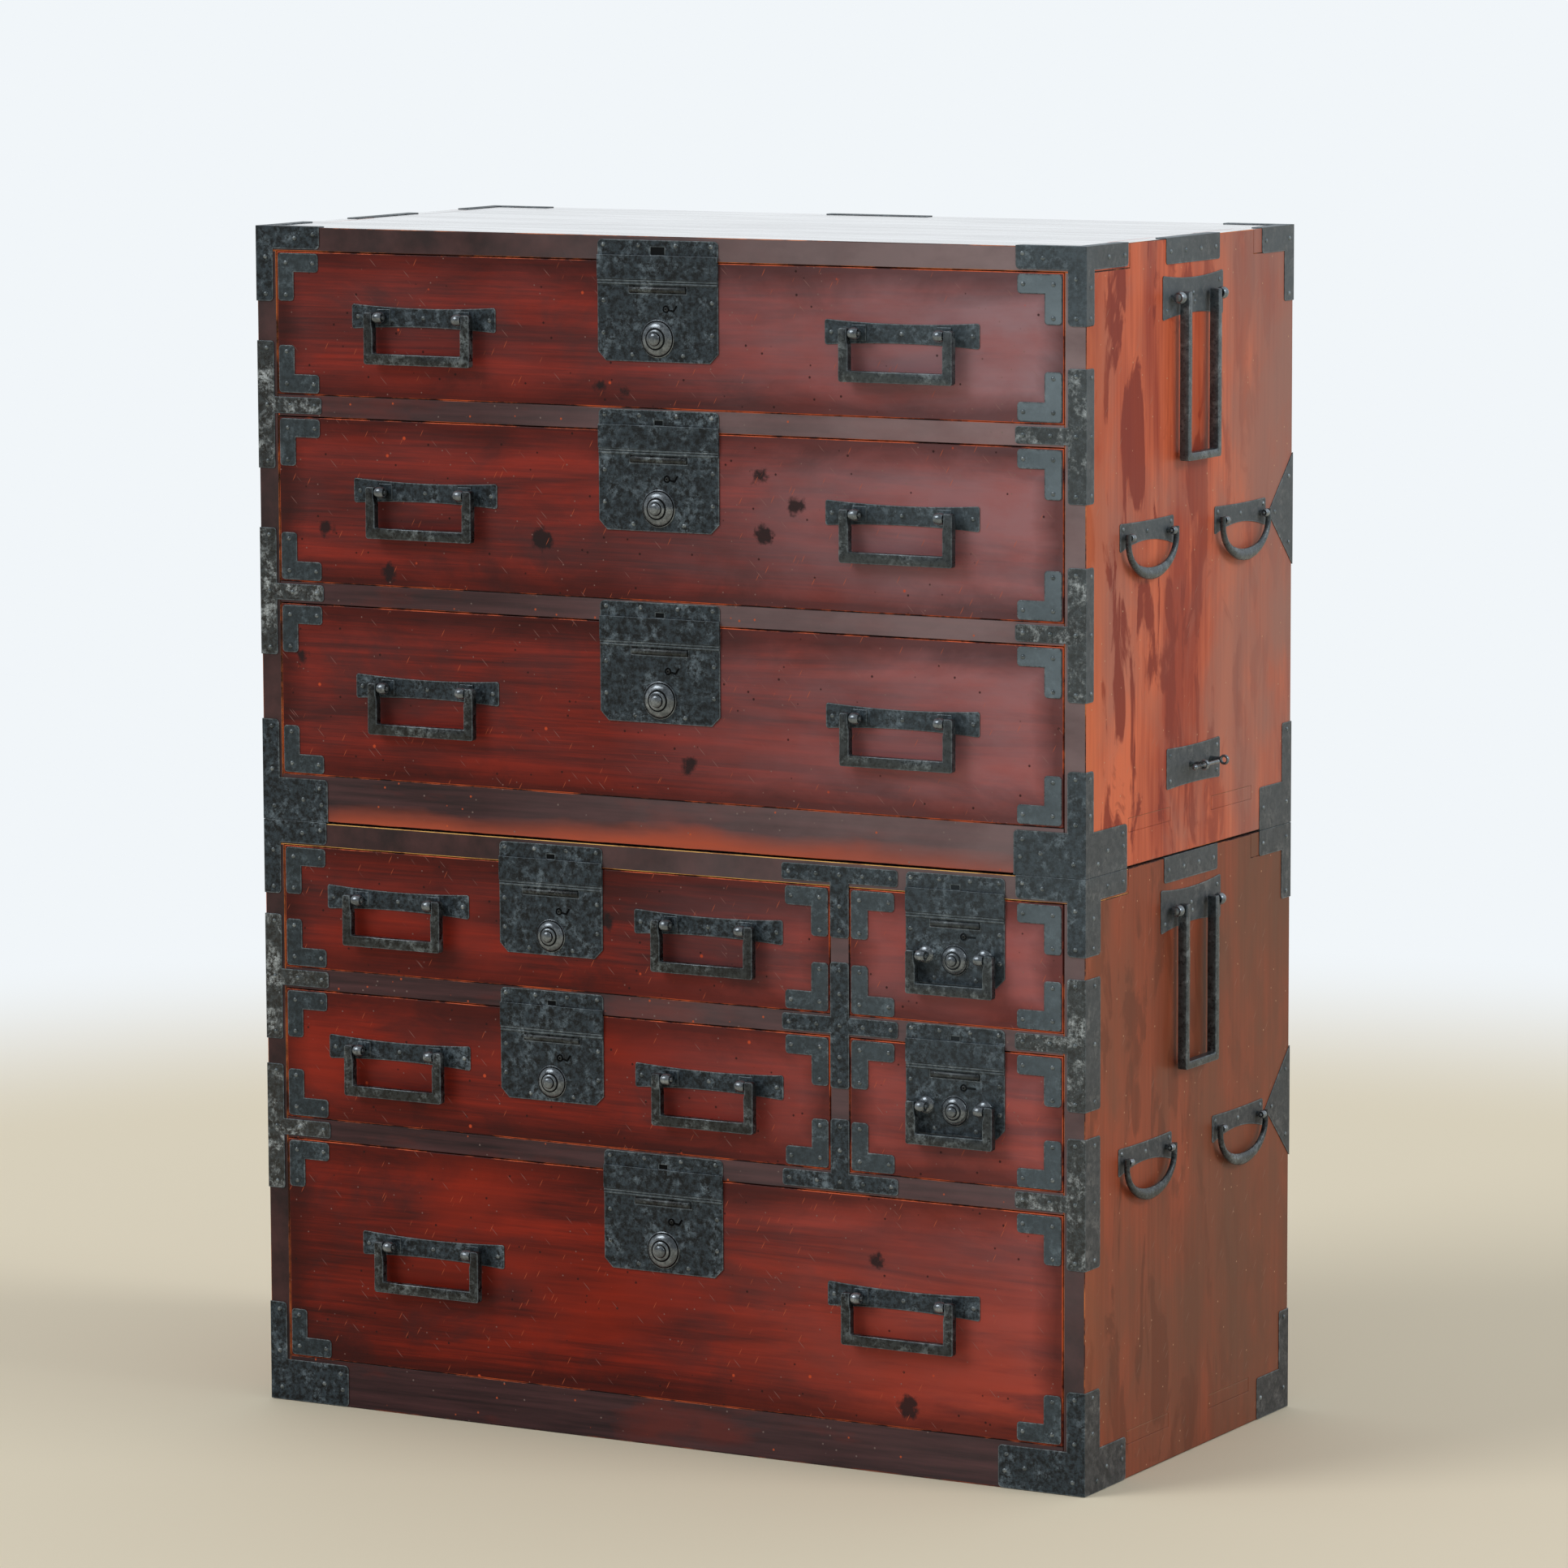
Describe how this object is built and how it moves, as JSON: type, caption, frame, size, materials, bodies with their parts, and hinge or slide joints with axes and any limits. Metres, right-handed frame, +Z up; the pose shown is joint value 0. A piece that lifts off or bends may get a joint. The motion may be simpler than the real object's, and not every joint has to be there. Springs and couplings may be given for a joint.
{
  "type": "isho clothing chest",
  "caption": "Two-section East Asian clothing chest with iron corner mounts, locked drawers, swinging bails and carrying handles.",
  "frame": {"origin": "on the floor, under the middle of the whole chest", "axes": "+Z up, -Y out of the drawer fronts, +X to the right seen from the front"},
  "size_m": [0.9412, 0.4576, 1.159],
  "materials": {
    "side_wood": "worn red-brown lacquer",
    "frame_wood": "dark lacquer, worn on edges",
    "drawer_wood": "glossy red-brown lacquer over open grain",
    "back_wood": "bare softwood",
    "iron": "blue-black forged iron",
    "iron_bright": "iron worn bright"
  },
  "bodies": {
    "lower_case": {"lower_carcass": "side_wood", "lower_rails": "frame_wood", "lower_back_boards": "back_wood", "lower_irons": "iron"},
    "upper_case": {"upper_carcass": "side_wood", "upper_rails": "frame_wood", "upper_back_boards": "back_wood", "upper_irons": "iron"},
    "drawer_top": {"drawer_top": "drawer_wood", "drawer_top_irons": "iron"},
    "lock_button_top": {"lock_button_top": "iron_bright"},
    "bail_top_left": {"bail_top_left": "iron"},
    "bail_top_right": {"bail_top_right": "iron"},
    "drawer_second": {"drawer_second": "drawer_wood", "drawer_second_irons": "iron"},
    "lock_button_second": {"lock_button_second": "iron_bright"},
    "bail_second_left": {"bail_second_left": "iron"},
    "bail_second_right": {"bail_second_right": "iron"},
    "drawer_third": {"drawer_third": "drawer_wood", "drawer_third_irons": "iron"},
    "lock_button_third": {"lock_button_third": "iron_bright"},
    "bail_third_left": {"bail_third_left": "iron"},
    "bail_third_right": {"bail_third_right": "iron"},
    "drawer_middle_upper": {"drawer_middle_upper": "drawer_wood", "drawer_middle_upper_irons": "iron"},
    "lock_button_middle_upper": {"lock_button_middle_upper": "iron_bright"},
    "bail_middle_upper_left": {"bail_middle_upper_left": "iron"},
    "bail_middle_upper_right": {"bail_middle_upper_right": "iron"},
    "drawer_middle_lower": {"drawer_middle_lower": "drawer_wood", "drawer_middle_lower_irons": "iron"},
    "lock_button_middle_lower": {"lock_button_middle_lower": "iron_bright"},
    "bail_middle_lower_left": {"bail_middle_lower_left": "iron"},
    "bail_middle_lower_right": {"bail_middle_lower_right": "iron"},
    "drawer_small_upper": {"drawer_small_upper": "drawer_wood", "drawer_small_upper_irons": "iron"},
    "lock_button_small_upper": {"lock_button_small_upper": "iron_bright"},
    "bail_small_upper": {"bail_small_upper": "iron"},
    "drawer_small_lower": {"drawer_small_lower": "drawer_wood", "drawer_small_lower_irons": "iron"},
    "lock_button_small_lower": {"lock_button_small_lower": "iron_bright"},
    "bail_small_lower": {"bail_small_lower": "iron"},
    "drawer_bottom": {"drawer_bottom": "drawer_wood", "drawer_bottom_irons": "iron"},
    "lock_button_bottom": {"lock_button_bottom": "iron_bright"},
    "bail_bottom_left": {"bail_bottom_left": "iron"},
    "bail_bottom_right": {"bail_bottom_right": "iron"},
    "carry_bail_upper_right": {"carry_bail_upper_right": "iron"},
    "ring_bail_upper_right_front": {"ring_bail_upper_right_front": "iron"},
    "ring_bail_upper_right_rear": {"ring_bail_upper_right_rear": "iron"},
    "carry_bail_upper_left": {"carry_bail_upper_left": "iron"},
    "ring_bail_upper_left_front": {"ring_bail_upper_left_front": "iron"},
    "ring_bail_upper_left_rear": {"ring_bail_upper_left_rear": "iron"},
    "carry_bail_lower_right": {"carry_bail_lower_right": "iron"},
    "ring_bail_lower_right_front": {"ring_bail_lower_right_front": "iron"},
    "ring_bail_lower_right_rear": {"ring_bail_lower_right_rear": "iron"},
    "carry_bail_lower_left": {"carry_bail_lower_left": "iron"},
    "ring_bail_lower_left_front": {"ring_bail_lower_left_front": "iron"},
    "ring_bail_lower_left_rear": {"ring_bail_lower_left_rear": "iron"},
    "catch_pin_right": {"catch_pin_right": "iron_bright"},
    "catch_pin_left": {"catch_pin_left": "iron_bright"}
  },
  "joints": [
    {"name": "upper_case_lift", "type": "slide", "parent": "lower_case", "child": "upper_case", "axis": [0, 0, 1], "range_m": [0, 0.25]},
    {"name": "drawer_top_slide", "type": "slide", "parent": "upper_case", "child": "drawer_top", "axis": [0, -1, 0], "range_m": [0, 0.3]},
    {"name": "lock_button_top_press", "type": "slide", "parent": "drawer_top", "child": "lock_button_top", "axis": [0, 1, 0], "range_m": [0, 0.003], "stiffness_N_per_m": 300, "springref_m": -0.002},
    {"name": "bail_top_left_hinge", "type": "hinge", "parent": "drawer_top", "child": "bail_top_left", "pos_m": [-0.25997, -0.22325, 1.074], "axis": [-1, 0, 0], "range_deg": [-8, 188]},
    {"name": "bail_top_right_hinge", "type": "hinge", "parent": "drawer_top", "child": "bail_top_right", "pos_m": [0.25997, -0.22325, 1.074], "axis": [-1, 0, 0], "range_deg": [-8, 188]},
    {"name": "drawer_second_slide", "type": "slide", "parent": "upper_case", "child": "drawer_second", "axis": [0, -1, 0], "range_m": [0, 0.3]},
    {"name": "lock_button_second_press", "type": "slide", "parent": "drawer_second", "child": "lock_button_second", "axis": [0, 1, 0], "range_m": [0, 0.003], "stiffness_N_per_m": 300, "springref_m": -0.002},
    {"name": "bail_second_left_hinge", "type": "hinge", "parent": "drawer_second", "child": "bail_second_left", "pos_m": [-0.25997, -0.22325, 0.906], "axis": [-1, 0, 0], "range_deg": [-8, 188]},
    {"name": "bail_second_right_hinge", "type": "hinge", "parent": "drawer_second", "child": "bail_second_right", "pos_m": [0.25997, -0.22325, 0.906], "axis": [-1, 0, 0], "range_deg": [-8, 188]},
    {"name": "drawer_third_slide", "type": "slide", "parent": "upper_case", "child": "drawer_third", "axis": [0, -1, 0], "range_m": [0, 0.3]},
    {"name": "lock_button_third_press", "type": "slide", "parent": "drawer_third", "child": "lock_button_third", "axis": [0, 1, 0], "range_m": [0, 0.003], "stiffness_N_per_m": 300, "springref_m": -0.002},
    {"name": "bail_third_left_hinge", "type": "hinge", "parent": "drawer_third", "child": "bail_third_left", "pos_m": [-0.25997, -0.22325, 0.716], "axis": [-1, 0, 0], "range_deg": [-8, 188]},
    {"name": "bail_third_right_hinge", "type": "hinge", "parent": "drawer_third", "child": "bail_third_right", "pos_m": [0.25997, -0.22325, 0.716], "axis": [-1, 0, 0], "range_deg": [-8, 188]},
    {"name": "drawer_middle_upper_slide", "type": "slide", "parent": "lower_case", "child": "drawer_middle_upper", "axis": [0, -1, 0], "range_m": [0, 0.3]},
    {"name": "lock_button_middle_upper_press", "type": "slide", "parent": "drawer_middle_upper", "child": "lock_button_middle_upper", "axis": [0, 1, 0], "range_m": [0, 0.003], "stiffness_N_per_m": 300, "springref_m": -0.002},
    {"name": "bail_middle_upper_left_hinge", "type": "hinge", "parent": "drawer_middle_upper", "child": "bail_middle_upper_left", "pos_m": [-0.29625, -0.22325, 0.507], "axis": [-1, 0, 0], "range_deg": [-8, 188]},
    {"name": "bail_middle_upper_right_hinge", "type": "hinge", "parent": "drawer_middle_upper", "child": "bail_middle_upper_right", "pos_m": [0.05075, -0.22325, 0.507], "axis": [-1, 0, 0], "range_deg": [-8, 188]},
    {"name": "drawer_middle_lower_slide", "type": "slide", "parent": "lower_case", "child": "drawer_middle_lower", "axis": [0, -1, 0], "range_m": [0, 0.3]},
    {"name": "lock_button_middle_lower_press", "type": "slide", "parent": "drawer_middle_lower", "child": "lock_button_middle_lower", "axis": [0, 1, 0], "range_m": [0, 0.003], "stiffness_N_per_m": 300, "springref_m": -0.002},
    {"name": "bail_middle_lower_left_hinge", "type": "hinge", "parent": "drawer_middle_lower", "child": "bail_middle_lower_left", "pos_m": [-0.29625, -0.22325, 0.359], "axis": [-1, 0, 0], "range_deg": [-8, 188]},
    {"name": "bail_middle_lower_right_hinge", "type": "hinge", "parent": "drawer_middle_lower", "child": "bail_middle_lower_right", "pos_m": [0.05075, -0.22325, 0.359], "axis": [-1, 0, 0], "range_deg": [-8, 188]},
    {"name": "drawer_small_upper_slide", "type": "slide", "parent": "lower_case", "child": "drawer_small_upper", "axis": [0, -1, 0], "range_m": [0, 0.3]},
    {"name": "lock_button_small_upper_press", "type": "slide", "parent": "drawer_small_upper", "child": "lock_button_small_upper", "axis": [0, 1, 0], "range_m": [0, 0.003], "stiffness_N_per_m": 300, "springref_m": -0.002},
    {"name": "bail_small_upper_hinge", "type": "hinge", "parent": "drawer_small_upper", "child": "bail_small_upper", "pos_m": [0.31525, -0.22325, 0.498], "axis": [-1, 0, 0], "range_deg": [-8, 184]},
    {"name": "drawer_small_lower_slide", "type": "slide", "parent": "lower_case", "child": "drawer_small_lower", "axis": [0, -1, 0], "range_m": [0, 0.3]},
    {"name": "lock_button_small_lower_press", "type": "slide", "parent": "drawer_small_lower", "child": "lock_button_small_lower", "axis": [0, 1, 0], "range_m": [0, 0.003], "stiffness_N_per_m": 300, "springref_m": -0.002},
    {"name": "bail_small_lower_hinge", "type": "hinge", "parent": "drawer_small_lower", "child": "bail_small_lower", "pos_m": [0.31525, -0.22325, 0.356], "axis": [-1, 0, 0], "range_deg": [-8, 184]},
    {"name": "drawer_bottom_slide", "type": "slide", "parent": "lower_case", "child": "drawer_bottom", "axis": [0, -1, 0], "range_m": [0, 0.3]},
    {"name": "lock_button_bottom_press", "type": "slide", "parent": "drawer_bottom", "child": "lock_button_bottom", "axis": [0, 1, 0], "range_m": [0, 0.003], "stiffness_N_per_m": 300, "springref_m": -0.002},
    {"name": "bail_bottom_left_hinge", "type": "hinge", "parent": "drawer_bottom", "child": "bail_bottom_left", "pos_m": [-0.25997, -0.22325, 0.167], "axis": [-1, 0, 0], "range_deg": [-8, 188]},
    {"name": "bail_bottom_right_hinge", "type": "hinge", "parent": "drawer_bottom", "child": "bail_bottom_right", "pos_m": [0.25997, -0.22325, 0.167], "axis": [-1, 0, 0], "range_deg": [-8, 188]},
    {"name": "carry_bail_upper_right_hinge", "type": "hinge", "parent": "upper_case", "child": "carry_bail_upper_right", "pos_m": [0.459, 0.00775, 1.103], "axis": [0, -1, 0], "range_deg": [-1.5, 181]},
    {"name": "ring_bail_upper_right_front_hinge", "type": "hinge", "parent": "upper_case", "child": "ring_bail_upper_right_front", "pos_m": [0.4565, -0.08825, 0.887], "axis": [0, -1, 0], "range_deg": [-4, 184]},
    {"name": "ring_bail_upper_right_rear_hinge", "type": "hinge", "parent": "upper_case", "child": "ring_bail_upper_right_rear", "pos_m": [0.4565, 0.11175, 0.887], "axis": [0, -1, 0], "range_deg": [-4, 184]},
    {"name": "carry_bail_upper_left_hinge", "type": "hinge", "parent": "upper_case", "child": "carry_bail_upper_left", "pos_m": [-0.459, 0.00775, 1.103], "axis": [0, 1, 0], "range_deg": [-1.5, 181]},
    {"name": "ring_bail_upper_left_front_hinge", "type": "hinge", "parent": "upper_case", "child": "ring_bail_upper_left_front", "pos_m": [-0.4565, -0.08825, 0.887], "axis": [0, 1, 0], "range_deg": [-4, 184]},
    {"name": "ring_bail_upper_left_rear_hinge", "type": "hinge", "parent": "upper_case", "child": "ring_bail_upper_left_rear", "pos_m": [-0.4565, 0.11175, 0.887], "axis": [0, 1, 0], "range_deg": [-4, 184]},
    {"name": "carry_bail_lower_right_hinge", "type": "hinge", "parent": "lower_case", "child": "carry_bail_lower_right", "pos_m": [0.459, 0.00775, 0.5275], "axis": [0, -1, 0], "range_deg": [-1.5, 181]},
    {"name": "ring_bail_lower_right_front_hinge", "type": "hinge", "parent": "lower_case", "child": "ring_bail_lower_right_front", "pos_m": [0.4565, -0.08825, 0.303], "axis": [0, -1, 0], "range_deg": [-4, 184]},
    {"name": "ring_bail_lower_right_rear_hinge", "type": "hinge", "parent": "lower_case", "child": "ring_bail_lower_right_rear", "pos_m": [0.4565, 0.11175, 0.303], "axis": [0, -1, 0], "range_deg": [-4, 184]},
    {"name": "carry_bail_lower_left_hinge", "type": "hinge", "parent": "lower_case", "child": "carry_bail_lower_left", "pos_m": [-0.459, 0.00775, 0.5275], "axis": [0, 1, 0], "range_deg": [-1.5, 181]},
    {"name": "ring_bail_lower_left_front_hinge", "type": "hinge", "parent": "lower_case", "child": "ring_bail_lower_left_front", "pos_m": [-0.4565, -0.08825, 0.303], "axis": [0, 1, 0], "range_deg": [-4, 184]},
    {"name": "ring_bail_lower_left_rear_hinge", "type": "hinge", "parent": "lower_case", "child": "ring_bail_lower_left_rear", "pos_m": [-0.4565, 0.11175, 0.303], "axis": [0, 1, 0], "range_deg": [-4, 184]},
    {"name": "catch_pin_right_slide", "type": "slide", "parent": "upper_case", "child": "catch_pin_right", "axis": [0, 1, 0], "range_m": [0, 0.017]},
    {"name": "catch_pin_left_slide", "type": "slide", "parent": "upper_case", "child": "catch_pin_left", "axis": [0, 1, 0], "range_m": [0, 0.017]}
  ]
}
